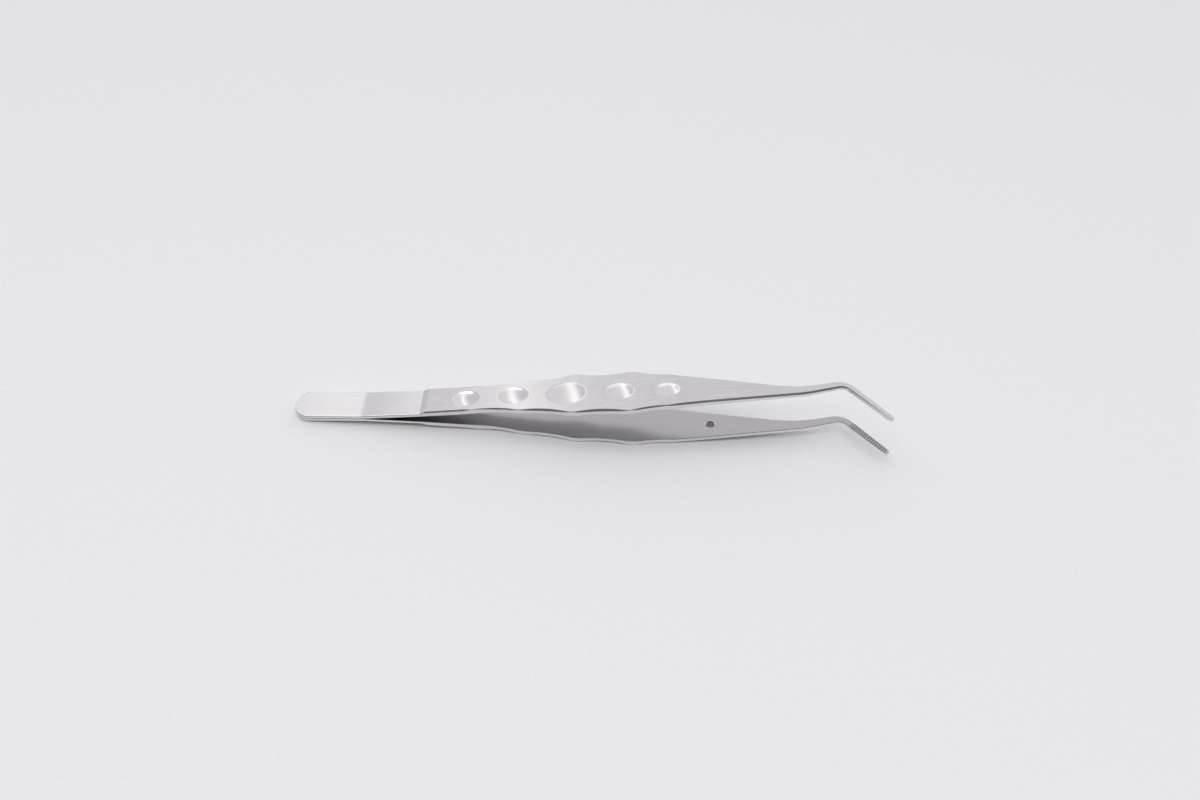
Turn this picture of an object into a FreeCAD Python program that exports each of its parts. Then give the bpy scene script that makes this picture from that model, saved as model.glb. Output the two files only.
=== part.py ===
import FreeCAD, Part
import math
import os

import Sketcher

# Cotton pliers: sprung dental tweezers with angled, serrated beaks.
# Two bowed arms are welded face to face at the heel, and a guide pin in the
# upper arm enters a hole in the lower arm when the beaks are squeezed together.
# X runs along the tool from the heel, Y across it and Z up. The tool lies as it
# rests on a table: on the outer face of the lower arm, with the jaws opening up.

# Driving dimensions, in millimetres and degrees
SIZES = [
    ("opening_angle", 3.95, "lean of each arm's grip from the closing plane"),
    ("spring_thickness", 0.95, "thin strip between the heel and the step"),
    ("grip_thickness", 1.60, "finger grip and the start of the neck"),
    ("tip_thickness", 1.00, "beak at its tip"),
    ("weld_x", 17.5, "where the arms part"),
    ("weld_radius", 120.0, "first bow of the spring strip"),
    ("hump_reach", 1.90, "highest point of the arm above its grip, past the step"),
    ("hump_height", 1.35, "inner face there, above the weld's inner face level"),
    ("hump_radius", 600.0, "bow at the hump"),
    ("step_x", 33.1, "step between the strip and the grip"),
    ("step_run", 1.10, "length of the step's ramp"),
    ("grip_x", 58.0, "start of the flat outer face of the grip"),
    ("grip_radius", 300.0, "bow where the flat starts"),
    ("shoulder_x", 99.4, "end of the flat outer face"),
    ("shoulder_radius", 240.0, "bow at the shoulder"),
    ("tip_rise", 3.50, "inner face at the tip, above that of the grip"),
    ("heel_half", 4.15, "half width of the heel"),
    ("heel_roundness", 0.90, "radius of the heel's corners, as a share of the half width"),
    ("groove_x", 45.3, "start of the first finger groove"),
    ("groove_half", 3.98, "half width there"),
    ("cusp_one_x", 58.6, "crest between the first two grooves"),
    ("cusp_one_half", 4.88, "half width there"),
    ("cusp_two_x", 72.1, "crest between the middle grooves"),
    ("cusp_two_half", 6.33, "half width there"),
    ("cusp_three_x", 86.4, "crest between the last two grooves"),
    ("cusp_three_half", 6.48, "half width there"),
    ("neck_x", 96.7, "end of the last groove"),
    ("neck_half", 5.02, "half width there"),
    ("scallop_radius", 45.0, "hollow of the edge between two crests"),
    ("groove_radius", 38.0, "wheel that ground the finger grooves"),
    ("groove_lean", 35.0, "lean of that wheel from the arm's normal"),
    ("groove_ridge", 0.14, "width of the ground bevel at each crest"),
    ("back_dip_reach", 22.90, "hollow of the neck's back edge, behind the tip"),
    ("back_dip_y", 1.13, "its place across"),
    ("back_dip_radius", 36.0, "its radius"),
    ("back_bend_reach", 10.90, "outer corner of the beak's bend, behind the tip"),
    ("back_bend_y", 3.57, "its place across"),
    ("back_bend_radius", 5.6, "its radius"),
    ("front_dip_reach", 20.70, "hollow of the neck's front edge, behind the tip"),
    ("front_dip_y", -0.95, "its place across"),
    ("front_dip_radius", 30.0, "its radius"),
    ("front_bend_reach", 11.20, "inner corner of the beak's bend, behind the tip"),
    ("front_bend_y", 1.61, "its place across"),
    ("front_bend_radius", 2.5, "its radius"),
    ("tip_x", 150.0, "end of the tool, from the heel"),
    ("tip_y", -8.00, "tip's place across"),
    ("tip_width", 1.25, "width of the beak at its tip"),
    ("tip_radius", 0.55, "rounding of the tip's corners"),
    ("beak_angle", 45.0, "turn of the beak towards the user"),
    ("heel_edge", 0.30, "rounding of the strip's outer edges"),
    ("step_bevel", 0.32, "reach of the bevel between the step and the first groove"),
    ("neck_edge", 0.20, "rounding of the outer edges along the neck and the beak"),
    ("dimple_depth", 0.32, "depth of each thumb dimple"),
    ("dimple_steepness", 2.0, "height of a dimple's ellipsoid in depths"),
    ("dimple_one_x", 44.6, "first dimple, from the heel"),
    ("dimple_one_length", 6.2, "its length"),
    ("dimple_one_width", 4.5, "its width"),
    ("dimple_two_x", 56.7, "second dimple"),
    ("dimple_two_length", 7.5, "its length"),
    ("dimple_two_width", 5.2, "its width"),
    ("dimple_three_x", 70.3, "middle dimple"),
    ("dimple_three_length", 9.6, "its length"),
    ("dimple_three_width", 6.8, "its width"),
    ("dimple_four_x", 83.4, "fourth dimple"),
    ("dimple_four_length", 7.5, "its length"),
    ("dimple_four_width", 5.2, "its width"),
    ("dimple_five_x", 95.5, "last dimple"),
    ("dimple_five_length", 6.2, "its length"),
    ("dimple_five_width", 4.3, "its width"),
    ("hole_x", 105.6, "guide hole and pin"),
    ("hole_diameter", 2.05, "guide hole in the lower arm"),
    ("pin_diameter", 1.60, "guide pin"),
    ("pin_seat", 1.00, "depth of the pin's seat in the upper arm"),
    ("pin_reach", 3.50, "pin below the upper arm's inner face"),
    ("pin_tip", 0.45, "rounding of the pin's end"),
    ("serration_pitch", 0.70, "spacing of the cross serrations"),
    ("serration_depth", 0.18, "depth of each square-cut serration"),
    ("serration_start", 3.20, "smooth stretch after the bend"),
    ("serration_end", 0.45, "smooth stretch at the tip"),
]

doc = FreeCAD.newDocument("cotton_pliers")
sheet = doc.addObject("Spreadsheet::Sheet", "Sizes")
for row, (alias, value, note) in enumerate(SIZES, start=1):
    sheet.set(f"A{row}", alias)
    sheet.set(f"B{row}", str(value))
    sheet.setAlias(f"B{row}", alias)
    sheet.set(f"C{row}", note)
doc.recompute()

Vector = FreeCAD.Vector
Rotation = FreeCAD.Rotation
Placement = FreeCAD.Placement


class Size:
    """The sheet's values, by their names."""

    def __getitem__(self, alias):
        return float(getattr(sheet, alias))


size = Size()


def outline(body, plane, name, corners, hollows):
    """A closed sketch through corners, anticlockwise, with every number from the sheet.

    A corner is a pair of expressions, and a third gives the radius that rounds it.
    hollows gives the side after a corner the radius of its arc, negative where it bulges.
    """
    sketch = body.newObject("Sketcher::SketchObject", name)
    support = next(item for item in body.Origin.OriginFeatures if item.Role == plane)
    sketch.AttachmentSupport = [(support, "")]
    sketch.MapMode = "FlatFace"

    def bind(kind, expression, *where):
        number = sketch.addConstraint(Sketcher.Constraint(kind, *where, sketch.evalExpression(expression)))
        sketch.setExpression(f"Constraints[{number}]", expression)

    points = [Vector(sketch.evalExpression(x), sketch.evalExpression(y), 0) for x, y, *_ in corners]
    count = len(points)
    trims = [[point, point] for point in points]
    for index, (_, _, *radius) in enumerate(corners):
        if radius:
            into = (points[index - 1] - points[index]).normalize()
            out = (points[(index + 1) % count] - points[index]).normalize()
            setback = sketch.evalExpression(radius[0]) / math.tan(into.getAngle(out) / 2)
            trims[index] = [points[index] + into * setback, points[index] + out * setback]

    sides = []
    for index in range(count):
        start, end = trims[index][1], trims[(index + 1) % count][0]
        if index in hollows:
            radius = sketch.evalExpression(hollows[index])
            chord = end - start
            sag = abs(radius) - math.sqrt(radius**2 - (chord.Length / 2) ** 2)
            across = Vector(-chord.y, chord.x, 0).normalize() * math.copysign(sag, radius)
            sketch.addGeometry(Part.Arc(start, (start + end) / 2 + across, end))
            sides.append((index, 2, 1) if radius > 0 else (index, 1, 2))
        else:
            sketch.addGeometry(Part.LineSegment(start, end))
            sides.append((index, 1, 2))

    for index, (x, y, *radius) in enumerate(corners):
        before, after = sides[index - 1], sides[index]
        if radius:
            arrive, leave = trims[index]
            middle = points[index] - (arrive + leave) / 2
            reach = sketch.evalExpression(radius[0])
            depth = math.hypot(reach, (points[index] - arrive).Length) - reach
            left_turn = (arrive - points[index]).cross(leave - points[index]).z < 0
            nearest = points[index] - middle.normalize() * depth
            arc = sketch.addGeometry(Part.Arc(arrive, nearest, leave))
            first, last = (1, 2) if left_turn else (2, 1)
            sketch.addConstraint(Sketcher.Constraint("Tangent", before[0], before[2], arc, first))
            sketch.addConstraint(Sketcher.Constraint("Tangent", arc, last, after[0], after[1]))
            bind("Radius", radius[0], arc)
            spot = sketch.addGeometry(Part.Point(points[index]), True)
            sketch.addConstraint(Sketcher.Constraint("PointOnObject", spot, 1, before[0]))
            sketch.addConstraint(Sketcher.Constraint("PointOnObject", spot, 1, after[0]))
            vertex = (spot, 1)
        else:
            vertex = (after[0], after[1])
            sketch.addConstraint(Sketcher.Constraint("Coincident", before[0], before[2], *vertex))
        bind("DistanceX", x, -1, 1, *vertex)
        bind("DistanceY", y, -1, 1, *vertex)
    for index, radius in hollows.items():
        bind("Radius", f"abs({radius})", index)
    doc.recompute()
    return sketch


def pad(body, sketch, name, length):
    """Pad a sketch by half the length to each side."""
    feature = body.newObject("PartDesign::Pad", name)
    feature.Profile = sketch
    feature.Length = length
    feature.SideType = "Symmetric"
    doc.recompute()


# Side profile of one arm, as it lies: spring strip, step, flat grip, neck and beak
PAD_WIDTH = 40.0
PAD_HEIGHT = 20.0

lean_run = "tan(Sizes.opening_angle)"
weld_z = f"Sizes.weld_x * {lean_run}"
weld_inner = f"{weld_z} + Sizes.spring_thickness"
hump_inner = "Sizes.spring_thickness + Sizes.hump_height"
tip_inner = "Sizes.grip_thickness + Sizes.tip_rise"
hump_x = "(Sizes.step_x + Sizes.hump_reach)"
strip_slope = f"({hump_inner} - ({weld_inner})) / ({hump_x} - Sizes.weld_x)"
step_inner = f"{weld_inner} + {strip_slope} * (Sizes.step_x - Sizes.weld_x)"

# The profile runs on past both ends of the outline, at the same slopes
OVERRUN = 3.0
start_x = f"-{OVERRUN}"
start_z = f"-{OVERRUN} * {lean_run}"
end_x = f"Sizes.tip_x + {OVERRUN}"
inner_slope = "Sizes.tip_rise / (Sizes.tip_x - Sizes.shoulder_x)"
end_inner = f"{tip_inner} + {OVERRUN} * {inner_slope}"

profile_corners = [
    (start_x, start_z),
    ("Sizes.weld_x", weld_z, "Sizes.weld_radius"),
    ("Sizes.step_x", f"{step_inner} - Sizes.spring_thickness"),
    ("Sizes.step_x + Sizes.step_run", f"{step_inner} - Sizes.grip_thickness"),
    ("Sizes.grip_x", "0", "Sizes.grip_radius"),
    ("Sizes.shoulder_x", "0", "Sizes.shoulder_radius"),
    (end_x, f"{end_inner} - Sizes.tip_thickness"),
    (end_x, end_inner),
    ("Sizes.shoulder_x", "Sizes.grip_thickness", "Sizes.shoulder_radius"),
    ("Sizes.grip_x", "Sizes.grip_thickness", "Sizes.grip_radius"),
    (hump_x, hump_inner, "Sizes.hump_radius"),
    ("Sizes.weld_x", weld_inner, "Sizes.weld_radius"),
    (start_x, f"Sizes.spring_thickness + {start_z}"),
]

profile = doc.addObject("PartDesign::Body", "arm_profile")
profile_sketch = outline(profile, "XZ_Plane", "side_profile", profile_corners, {})
pad(profile, profile_sketch, "profile_slab", PAD_WIDTH)
# Plan outline: rounded heel, four finger grooves a side, neck and angled beak
turn = "Sizes.beak_angle"
half = [
    ("groove_x", "groove_half"),
    ("cusp_one_x", "cusp_one_half"),
    ("cusp_two_x", "cusp_two_half"),
    ("cusp_three_x", "cusp_three_half"),
    ("neck_x", "neck_half"),
]
front = [(f"Sizes.{x}", f"-Sizes.{width}") for x, width in half]
back = [(f"Sizes.{x}", f"Sizes.{width}") for x, width in reversed(half)]
front_bend = ("Sizes.tip_x - Sizes.front_bend_reach", "Sizes.front_bend_y")
back_bend = ("Sizes.tip_x - Sizes.back_bend_reach", "Sizes.back_bend_y")
tip_front = (
    f"Sizes.tip_x - Sizes.tip_width * sin({turn})",
    f"Sizes.tip_y - Sizes.tip_width * cos({turn})",
)
tip_back = ("Sizes.tip_x", "Sizes.tip_y")
neck_and_beak = [
    ("Sizes.tip_x - Sizes.front_dip_reach", "Sizes.front_dip_y", "Sizes.front_dip_radius"),
    (*front_bend, "Sizes.front_bend_radius"),
    (*tip_front, "Sizes.tip_radius"),
    (*tip_back, "Sizes.tip_radius"),
    (*back_bend, "Sizes.back_bend_radius"),
    ("Sizes.tip_x - Sizes.back_dip_reach", "Sizes.back_dip_y", "Sizes.back_dip_radius"),
]
heel = [
    ("0", "Sizes.heel_half", "Sizes.heel_half * Sizes.heel_roundness"),
    ("0", "-Sizes.heel_half", "Sizes.heel_half * Sizes.heel_roundness"),
]
plan_corners = front + neck_and_beak + back + heel
grooves = len(half) - 1
back_start = len(front) + len(neck_and_beak)
hollow_sides = [*range(grooves), *range(back_start, back_start + grooves)]
plan_arcs = {side: "Sizes.scallop_radius" for side in hollow_sides}

plan = doc.addObject("PartDesign::Body", "arm_plan")
plan_sketch = outline(plan, "XY_Plane", "plan_outline", plan_corners, plan_arcs)
pad(plan, plan_sketch, "plan_block", PAD_HEIGHT)


def joined(kind, name, base, tool):
    """A boolean of two objects."""
    feature = doc.addObject(kind, name)
    feature.Base = base
    feature.Tool = tool
    doc.recompute()
    return feature


def all_of(name, shapes):
    """Several cutters as one tool."""
    fuse = doc.addObject("Part::MultiFuse", name)
    fuse.Shapes = shapes
    doc.recompute()
    return fuse


def bind(feature, **expressions):
    """Tie properties of a feature to the sheet."""
    for name, expression in expressions.items():
        feature.setExpression(name, expression)


blank = joined("Part::Common", "arm_blank", profile, plan)

# The rounded outer edges of the strip, and of the neck and the beak
FACING_DOWN = -0.9
WALL = 0.5
NEAR = 0.05


def outer_edges(shape, first, last):
    """Numbers of the edges between the outer face and the side walls, between two places along the arm."""
    numbers = []
    for number, edge in enumerate(shape.Edges, start=1):
        box = edge.BoundBox
        if box.XMin < first - NEAR or box.XMax > last + NEAR or box.XMin > last - NEAR:
            continue
        middle = edge.valueAt((edge.FirstParameter + edge.LastParameter) / 2)
        levels = []
        for face in shape.ancestorsOfType(edge, Part.Face):
            levels.append(face.normalAt(*face.Surface.parameter(middle)).z)
        if min(levels) < FACING_DOWN and abs(max(levels)) < WALL:
            numbers.append(number)
    return numbers


softened = doc.addObject("Part::Fillet", "softened_arm")
softened.Base = blank
heel_edge = outer_edges(blank.Shape, 0, size["step_x"])[0]
neck_edge = outer_edges(blank.Shape, size["neck_x"], size["tip_x"])[0]
softened.Edges = [
    (heel_edge, size["heel_edge"], size["heel_edge"]),
    (neck_edge, size["neck_edge"], size["neck_edge"]),
]
doc.recompute()

# Bevels filed straight along the edges, from the step to the first grooves
FILE_REACH = 2.0
BEVEL_OVERRUN = 1.0
step_end = size["step_x"] + size["step_run"]
step_outer = profile_sketch.evalExpression(f"{step_inner} - Sizes.grip_thickness")
grip_fall = step_outer / (size["grip_x"] - step_end)


def bevel_file(name, side):
    """The block that cuts the bevel on the side +1 or -1 of the arm."""
    ends = []
    for along in (size["step_x"], size["groove_x"] + BEVEL_OVERRUN):
        narrowing = (size["heel_half"] - size["groove_half"]) * along / size["groove_x"]
        across = side * (size["heel_half"] - narrowing)
        ends.append(Vector(along, across, grip_fall * (size["grip_x"] - along)))
    run = ends[1] - ends[0]
    feature = doc.addObject("Part::Box", name)
    feature.Length = run.Length
    feature.Width = 2 * FILE_REACH
    feature.Height = FILE_REACH
    run.normalize()
    wall = Vector(0, 0, side).cross(run).normalize()
    face = Vector(0, 1, 0).cross(run).normalize()
    slant = (wall + face).normalize()
    beside = slant.cross(run)
    depth = size["step_bevel"] * slant.dot(wall)
    turned = Rotation(run, beside, slant, "ZXY")
    feature.Placement = Placement(ends[0] - slant * depth - beside * FILE_REACH, turned)
    return feature


bevel_files = [bevel_file("front_bevel_file", -1), bevel_file("back_bevel_file", 1)]
bevelled = joined("Part::Cut", "bevelled_arm", softened, all_of("bevel_files", bevel_files))

# Finger grooves, ground by a leaning wheel into the outer edges between the crests
UPRIGHT = Vector(0, 0, 1)
WHEEL_SPARE = 3.0
WHEEL_HEIGHT = 24.0


def wheel(number, side, start, end):
    """The wheel that grinds one groove, on the side +1 or -1 of the arm."""
    first = Vector(size[start + "_x"], side * size[start + "_half"], 0)
    last = Vector(size[end + "_x"], side * size[end + "_half"], 0)
    chord = last - first
    outward = Vector(-chord.y, chord.x, 0).normalize() * side
    tilt = math.radians(size["groove_lean"])
    sunk = math.sqrt(1 - (chord.Length / 2 / size["groove_radius"]) ** 2)
    away = size["groove_radius"] / math.cos(tilt) * sunk - size["groove_ridge"]
    axis = outward * math.sin(tilt) + UPRIGHT * math.cos(tilt)
    feature = doc.addObject("Part::Cylinder", f"groove_wheel_{number}")
    bind(feature, Radius="Sizes.groove_radius")
    feature.Height = WHEEL_HEIGHT
    middle = (first + last) / 2 + outward * away
    below = size["groove_radius"] * math.tan(tilt) + WHEEL_SPARE
    feature.Placement = Placement(middle - axis * below, Rotation(UPRIGHT, axis))
    return feature


crests = ["groove", "cusp_one", "cusp_two", "cusp_three", "neck"]
wheels = []
for side in (-1, 1):
    for start, end in zip(crests, crests[1:]):
        wheels.append(wheel(len(wheels) + 1, side, start, end))

# Thumb dimples, pressed into the outer face
def dimple(name):
    """The ellipsoid that presses one dimple, sunk by its depth below the face."""
    along = size[name + "_x"]
    height = size["dimple_depth"] * size["dimple_steepness"]
    share = math.sqrt(1 - (1 - 1 / size["dimple_steepness"]) ** 2)
    feature = doc.addObject("Part::Ellipsoid", f"{name}_punch")
    bind(
        feature,
        Radius1="Sizes.dimple_depth * Sizes.dimple_steepness",
        Radius2=f"Sizes.{name}_length / 2 / {share}",
        Radius3=f"Sizes.{name}_width / 2 / {share}",
    )
    face = max(0.0, grip_fall * (size["grip_x"] - along))
    slope = math.degrees(math.atan(grip_fall)) if along < size["grip_x"] - size["step_run"] else 0.0
    seat = Placement(Vector(along, 0, face), Rotation(Vector(0, 1, 0), slope))
    feature.Placement = seat * Placement(Vector(0, 0, size["dimple_depth"] - height), Rotation())
    return feature


punches = [dimple(f"dimple_{place}") for place in ("one", "two", "three", "four", "five")]

# Cross serrations, filed square across the inner face of the beak
FILE_SIDE = 1.0
FILE_LENGTH = 5.0


def halfway(one, other):
    """The middle between two places given by expressions."""
    read = plan_sketch.evalExpression
    places = [Vector(read(x), read(y), 0) for x, y in (one, other)]
    return sum(places, Vector()) / len(places)


bend_middle = halfway(back_bend, front_bend)
tip_middle = halfway(tip_back, tip_front)
beak = tip_middle - bend_middle
rise = size["tip_rise"] / (size["tip_x"] - size["shoulder_x"])
beak_turn = math.degrees(math.atan2(beak.y, beak.x))
inner_frame = Rotation(Vector(0, 1, 0), -math.degrees(math.atan(rise))) * Rotation(UPRIGHT, beak_turn)
cut = Placement(Vector(0, -FILE_LENGTH / 2, -size["serration_depth"]), Rotation(Vector(0, 1, 0), -45))
ribbed = beak.Length - size["serration_start"] - size["serration_end"]
files = []
for number in range(int(ribbed / size["serration_pitch"]) + 1):
    reach = size["serration_start"] + number * size["serration_pitch"]
    place = bend_middle + beak * (reach / beak.Length)
    place.z = size["grip_thickness"] + rise * (place.x - size["shoulder_x"])
    edge = doc.addObject("Part::Box", f"serration_file_{number + 1}")
    edge.Length = FILE_SIDE
    edge.Width = FILE_LENGTH
    edge.Height = FILE_SIDE
    edge.Placement = Placement(place, inner_frame) * cut
    files.append(edge)

ground = joined("Part::Cut", "ground_arm", bevelled, all_of("groove_wheels", wheels))
dimpled = joined("Part::Cut", "dimpled_arm", ground, all_of("dimple_punches", punches))
arm = joined("Part::Cut", "finished_arm", dimpled, all_of("serration_files", files))

# The upper arm is the lower one's mirror image in the plane where they close
lean = math.radians(size["opening_angle"])
closing = Vector(-math.sin(lean), 0, math.cos(lean))
weld_level = Vector(0, 0, size["spring_thickness"])
mirror = doc.addObject("Part::Mirroring", "mirrored_arm")
mirror.Source = arm
mirror.Base = weld_level
mirror.Normal = closing
doc.recompute()

# Guide pin, its seat in the upper arm and its hole in the lower one
BORE_LENGTH = 12.0
SEAT_CLEAR = 1.0
crossing = weld_level + Vector(math.cos(lean), 0, math.sin(lean)) * size["hole_x"]
inner_level = size["grip_thickness"] + rise * (crossing.x - size["shoulder_x"])
half_gap = (crossing.z - inner_level) / (math.cos(lean) + rise * math.sin(lean))
pin_turn = Rotation(Vector(0, 1, 0), -size["opening_angle"])

drill = doc.addObject("Part::Cylinder", "guide_drill")
bind(drill, Radius="Sizes.hole_diameter / 2")
drill.Height = BORE_LENGTH
drill.Placement = Placement(crossing - closing * BORE_LENGTH, pin_turn)

seat = doc.addObject("Part::Cylinder", "pin_seat")
bind(seat, Radius="Sizes.pin_diameter / 2", Height=f"Sizes.pin_seat + {SEAT_CLEAR}")
seat.Placement = Placement(crossing + closing * (half_gap - SEAT_CLEAR), pin_turn)

pin = doc.addObject("PartDesign::Body", "guide_pin")
circle = pin.newObject("Sketcher::SketchObject", "pin_section")
circle.AttachmentSupport = [(next(f for f in pin.Origin.OriginFeatures if f.Role == "XY_Plane"), "")]
circle.MapMode = "FlatFace"
circle.addGeometry(Part.Circle(Vector(0, 0, 0), UPRIGHT, size["pin_diameter"] / 2))
circle.addConstraint(Sketcher.Constraint("Coincident", 0, 3, -1, 1))
circle.addConstraint(Sketcher.Constraint("Diameter", 0, size["pin_diameter"]))
circle.setExpression("Constraints[1]", "Sizes.pin_diameter")
shank = pin.newObject("PartDesign::Pad", "pin_shank")
shank.Profile = circle
shank.setExpression("Length", "Sizes.pin_reach + Sizes.pin_seat")
doc.recompute()
low_edge = next(
    f"Edge{number}"
    for number, edge in enumerate(shank.Shape.Edges, start=1)
    if edge.BoundBox.ZMax < NEAR
)
nose = pin.newObject("PartDesign::Fillet", "pin_nose")
nose.Base = (shank, [low_edge])
nose.Radius = size["pin_tip"]
nose.setExpression("Radius", "Sizes.pin_tip")
doc.recompute()

lower_arm = joined("Part::Cut", "lower_arm", arm, drill)
upper_arm = joined("Part::Cut", "upper_arm", mirror, seat)
pin.Label = "guide_pin"

# The origin is under the middle of the whole tool, on the table
box = lower_arm.Shape.optimalBoundingBox(False)
box.add(upper_arm.Shape.optimalBoundingBox(False))
rest = Placement(Vector(-box.Center.x, -box.Center.y, -box.ZMin), Rotation())
lower_arm.Placement = rest
upper_arm.Placement = rest
pin.Placement = rest * Placement(crossing + closing * (half_gap - size["pin_reach"]), pin_turn)
doc.recompute()

for item in doc.Objects:
    if {"Invalid", "Error"} & set(item.State):
        raise RuntimeError(f"{item.Label} failed: {item.getStatusString()}")
parts = [lower_arm, upper_arm, pin]
for item in parts:
    shape = item.Shape
    if shape.isNull() or not shape.isValid() or len(shape.Solids) != 1:
        raise RuntimeError(f"{item.Label} is not one valid solid")
os.makedirs("parts", exist_ok=True)
for item in parts:
    item.Shape.exportStep(f"parts/{item.Label}.step")
    box = item.Shape.optimalBoundingBox(False)
    extent = f"{box.XLength:.2f} x {box.YLength:.2f} x {box.ZLength:.2f} mm"
    print(f"{item.Label}: {len(item.Shape.Faces)} faces, {item.Shape.Volume:.1f} mm3, {extent}")
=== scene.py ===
"""Cotton pliers: two sprung arms of satin stainless steel, welded into one heel.

Sizes are in millimetres in the frame of the lower arm as it lies on its flat grip face: x runs from the
heel to the beak, y across, z up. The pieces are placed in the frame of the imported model, in metres.
"""

import logging
import math
from dataclasses import dataclass, field
from enum import Enum, IntEnum
from typing import Sequence, Union

import bmesh
import bpy
import numpy as np
from mathutils import Matrix, Vector


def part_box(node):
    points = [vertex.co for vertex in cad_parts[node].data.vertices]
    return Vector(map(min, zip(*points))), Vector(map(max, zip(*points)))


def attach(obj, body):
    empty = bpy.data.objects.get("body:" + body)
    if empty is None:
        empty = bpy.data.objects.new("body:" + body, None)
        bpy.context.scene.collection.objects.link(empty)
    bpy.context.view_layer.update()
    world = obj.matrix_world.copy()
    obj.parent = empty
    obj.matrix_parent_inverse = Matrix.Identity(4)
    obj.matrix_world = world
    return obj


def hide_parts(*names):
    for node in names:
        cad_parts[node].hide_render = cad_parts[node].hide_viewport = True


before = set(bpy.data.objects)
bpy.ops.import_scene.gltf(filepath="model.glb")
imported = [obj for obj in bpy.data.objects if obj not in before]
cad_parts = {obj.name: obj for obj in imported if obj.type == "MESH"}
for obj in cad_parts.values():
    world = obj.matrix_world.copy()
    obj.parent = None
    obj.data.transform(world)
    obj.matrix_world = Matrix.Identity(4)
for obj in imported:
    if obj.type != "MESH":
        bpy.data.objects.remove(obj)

MM = 0.001
log = logging.getLogger("cotton_pliers")


class Side(Enum):
    """Which arm of the pliers."""

    LOWER = "lower"
    UPPER = "upper"


class Edge(Enum):
    """The two long edges of an arm, by the sign of y."""

    BACK = 1
    FRONT = -1


class Strip(IntEnum):
    """The strips of a cross-section, in the order in which it is drawn round from the back edge."""

    OUTER_FACE = 0
    FRONT_BEVEL = 1
    FRONT_WALL = 2
    FRONT_LIP = 3
    INNER_FACE = 4
    BACK_LIP = 5
    BACK_WALL = 6
    BACK_BEVEL = 7


BEVELS = (Strip.FRONT_BEVEL, Strip.BACK_BEVEL)
WALLS = (Strip.FRONT_WALL, Strip.BACK_WALL)
# Painted reflection of the lit table on the side walls: full on the lower arm, weak on the upper arm,
# whose walls face the lower arm's darker face.
PAINTED_WALL_REFLECTION = {Side.LOWER: 1.0, Side.UPPER: 0.3}
PIN_ROUGHNESS = 0.30


@dataclass(frozen=True)
class Corner:
    """One corner of a drawn line.

    A radius rounds the corner. A hollow bows the side that follows it inwards, as an arc of that
    radius.
    """

    x: float
    y: float
    radius: float = 0.0
    hollow: float = 0.0


def rounded(before: np.ndarray, spot: np.ndarray, after: np.ndarray, radius: float) -> tuple:
    """Finds the arc that rounds a corner.

    Args:
        before: The corner before it.
        spot: The corner itself.
        after: The corner after it.
        radius: The arc's radius.

    Returns:
        The arc's first point, its last point and its centre.
    """
    back = (before - spot) / np.linalg.norm(before - spot)
    on = (after - spot) / np.linalg.norm(after - spot)
    half = math.acos(float(np.clip(back @ on, -1.0, 1.0))) / 2
    setback = radius / math.tan(half)
    middle = (back + on) / np.linalg.norm(back + on)
    return spot + back * setback, spot + on * setback, spot + middle * radius / math.sin(half)


def trace(corners: Sequence[Corner], step: float = 0.05) -> np.ndarray:
    """Draws a line through corners, with its roundings and hollows, as close points.

    Args:
        corners: The line's corners, in order.
        step: The distance between points.

    Returns:
        The points, one row each.
    """
    spots = [np.array([corner.x, corner.y]) for corner in corners]
    starts = list(spots)
    ends = list(spots)
    centres = {}
    for index in range(1, len(corners) - 1):
        if corners[index].radius:
            found = rounded(spots[index - 1], spots[index], spots[index + 1], corners[index].radius)
            starts[index], ends[index], centres[index] = found
    path = [ends[0][None, :]]
    for index in range(len(corners) - 1):
        start, end = ends[index], starts[index + 1]
        length = np.linalg.norm(end - start)
        along = np.linspace(0, 1, max(2, int(length / step)) + 1)[1:, None]
        side = start + (end - start) * along
        bow = corners[index].hollow
        if bow:
            normal = np.array([start[1] - end[1], end[0] - start[0]]) / length
            chord_depth = math.sqrt(bow * bow - length**2 / 4)
            sag = np.sqrt(bow * bow - ((along - 0.5) * length) ** 2) - chord_depth
            side = side - normal * sag
        path.append(side)
        if index + 1 in centres:
            centre = centres[index + 1]
            first = math.atan2(*(starts[index + 1] - centre)[::-1])
            last = math.atan2(*(ends[index + 1] - centre)[::-1])
            turn = (last - first + math.pi) % (2 * math.pi) - math.pi
            radius = corners[index + 1].radius
            sweep = first + turn * np.linspace(0, 1, max(6, int(abs(turn) * radius / step)) + 1)[1:]
            path.append(centre + radius * np.stack([np.cos(sweep), np.sin(sweep)], axis=1))
    return np.concatenate(path)


def level(line: np.ndarray, x: np.ndarray) -> np.ndarray:
    """The second coordinate of a drawn line at each x."""
    return np.interp(x, line[:, 0], line[:, 1])


def eased(values: np.ndarray, reach: int = 4) -> np.ndarray:
    """Averages each value with its neighbours, up to a reach on both sides."""
    window = np.ones(2 * reach + 1) / (2 * reach + 1)
    return np.convolve(np.pad(values, reach, mode="edge"), window, "valid")


def ramp(value: np.ndarray, start: float, end: float) -> np.ndarray:
    """A smooth rise from 0 at start to 1 at end."""
    part = np.clip((value - start) / (end - start), 0.0, 1.0)
    return part * part * (3 - 2 * part)


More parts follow.
